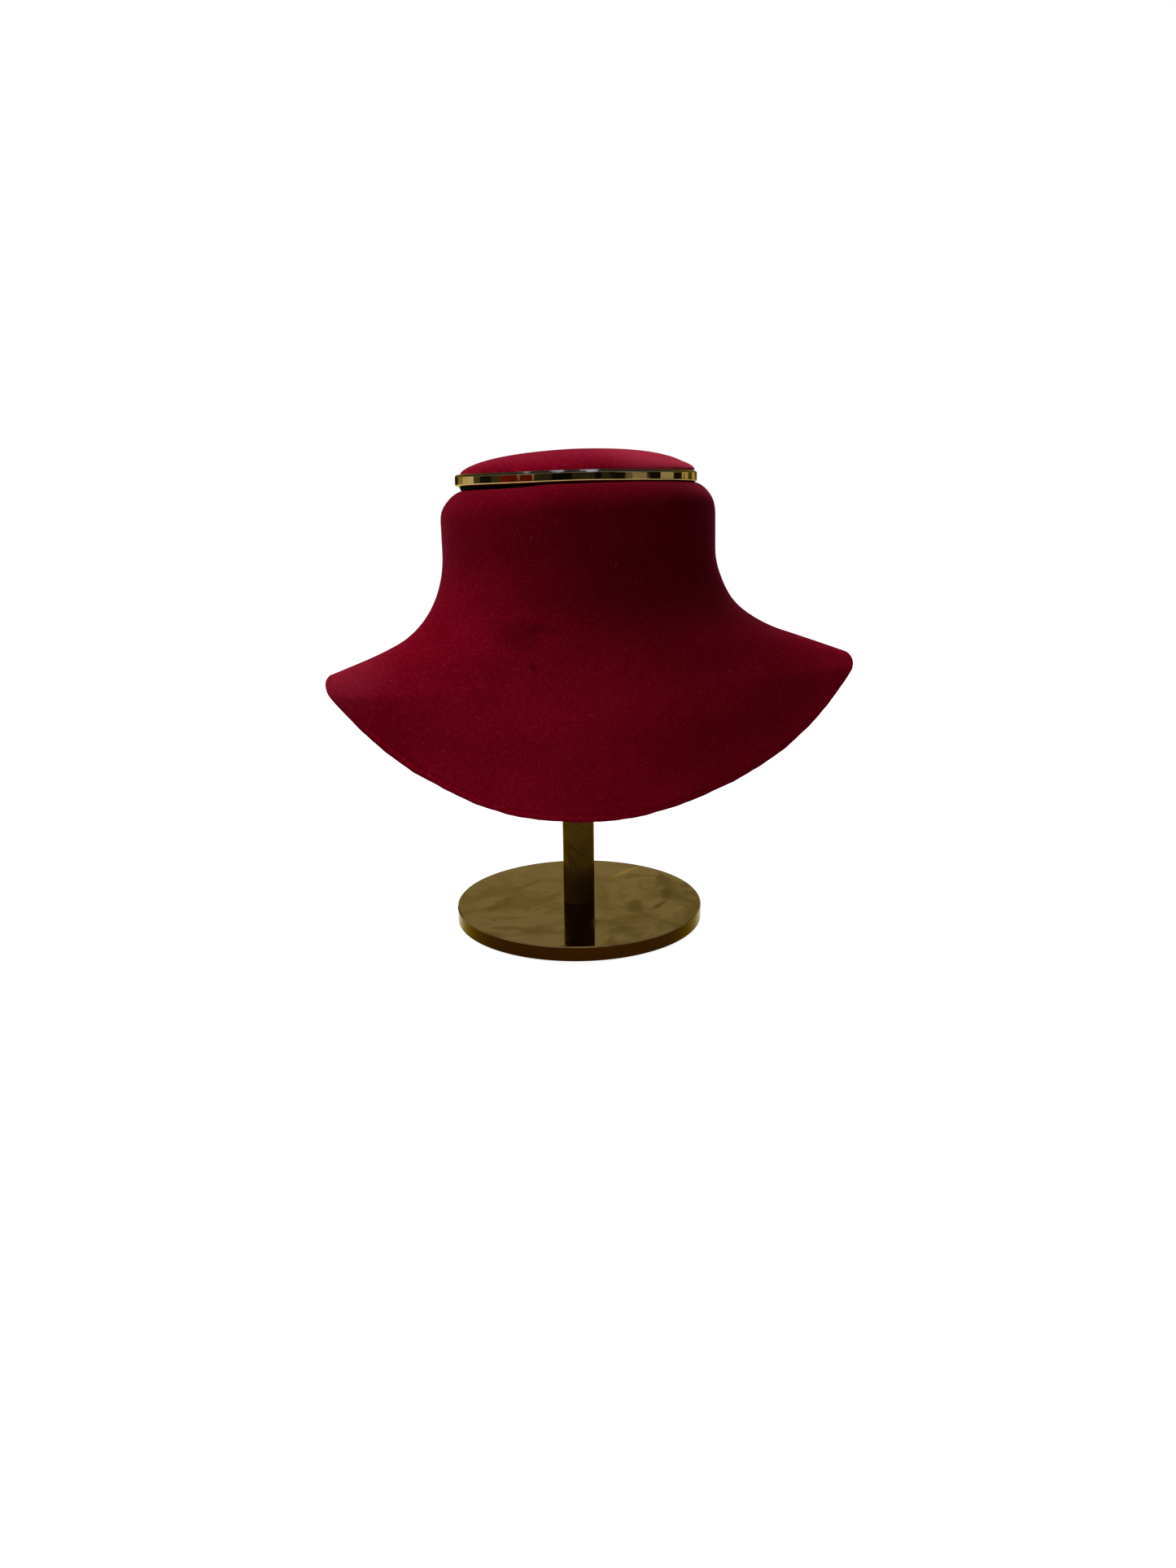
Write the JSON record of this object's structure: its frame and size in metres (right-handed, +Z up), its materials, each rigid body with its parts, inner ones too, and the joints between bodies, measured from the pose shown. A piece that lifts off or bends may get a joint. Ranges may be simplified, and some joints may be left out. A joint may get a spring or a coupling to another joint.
{
  "type": "display_bust",
  "caption": "Jewellery display bust: suede-covered neck and bib with a gold-ringed padded cap, turning on a brass-toned post and round base",
  "frame": {"origin": "Centre of the base pad's underside, on the axis of the post", "axes": "+Z up along the post, -Y to the bust's front, +X to the right as one faces its front"},
  "size_m": [0.1944, 0.105, 0.1841],
  "materials": {
    "suede": "napped",
    "foam": "matte",
    "polished_gold": "polished",
    "satin_brass": "satin",
    "plain_steel": "plain",
    "socket_aluminium": "turned",
    "nylon": "plain",
    "core_wood": "raw",
    "board_black": "matte",
    "pad_rubber": "matte"
  },
  "bodies": {
    "stand": {"base_pad": "pad_rubber", "base_disc": "satin_brass", "base_screw": "plain_steel", "foot_plug": "plain_steel", "post_tube": "satin_brass", "head_plug": "plain_steel", "thrust_washer": "nylon", "swivel_washer": "plain_steel", "swivel_screw": "plain_steel"},
    "bust": {"swivel_socket": "socket_aluminium", "flange_screws": "plain_steel", "core_block": "core_wood", "front_half": "suede", "back_half": "suede", "edge_band": "suede", "underside_panel": "suede", "cap_board": "board_black", "cap_dowels": "core_wood", "cap_foam": "foam", "cap_cover": "suede", "cap_ring": "polished_gold"}
  },
  "joints": [
    {"name": "bust_swivel", "type": "hinge", "parent": "stand", "child": "bust", "pos_m": [0, 0, 0.1315], "axis": [0, 0, 1], "continuous": true}
  ]
}
